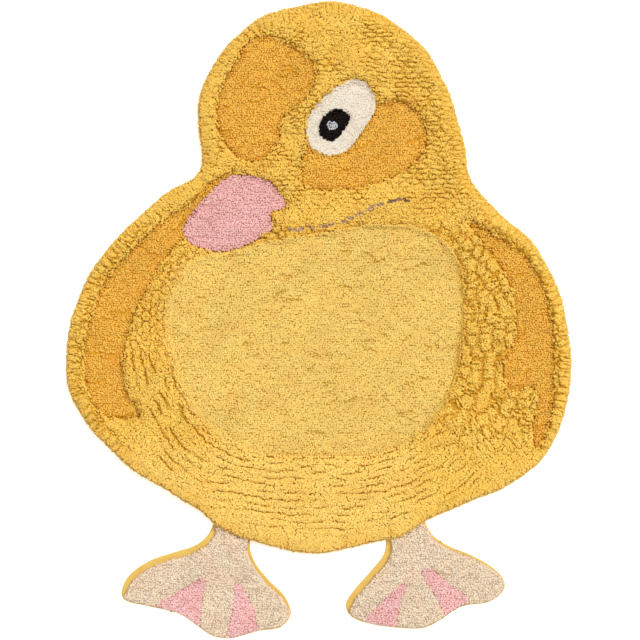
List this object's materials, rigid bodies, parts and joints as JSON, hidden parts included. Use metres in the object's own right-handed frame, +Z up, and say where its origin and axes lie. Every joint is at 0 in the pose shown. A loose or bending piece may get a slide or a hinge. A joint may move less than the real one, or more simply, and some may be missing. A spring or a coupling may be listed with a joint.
{
  "type": "animal shaped kids rug",
  "caption": "Duckling-shaped hand-tufted cotton rug for a child's room, with a high-low pile in colour fields on a backing cloth.",
  "frame": {"origin": "on the floor under the middle of the rug's outline box", "axes": "+Z up off the floor, +Y towards the head, +X to the rug's right as seen from above"},
  "size_m": [0.7952, 1.0024, 0.0233],
  "materials": {
    "cloth": "smooth mustard cotton cloth",
    "yellow": "yellow cotton pile, high and chunky round a low sheared belly",
    "orange": "orange cotton pile, sheared low",
    "off_white": "off-white cotton pile, sheared low",
    "black": "black cotton pile, sheared low",
    "pink": "pink cotton pile, sheared low",
    "beige": "beige cotton pile, short"
  },
  "bodies": {
    "root": {"backing_cloth": "cloth", "ground_pile": "yellow", "left_wing_pile": "orange", "right_wing_pile": "orange", "brow_pile": "orange", "cheek_pile": "orange", "eye_white_pile": "off_white", "pupil_pile": "black", "beak_pile": "pink", "left_foot_pile": "beige", "right_foot_pile": "beige", "left_web_outer_pile": "pink", "left_web_inner_pile": "pink", "right_web_inner_pile": "pink", "right_web_outer_pile": "pink"}
  },
  "joints": []
}
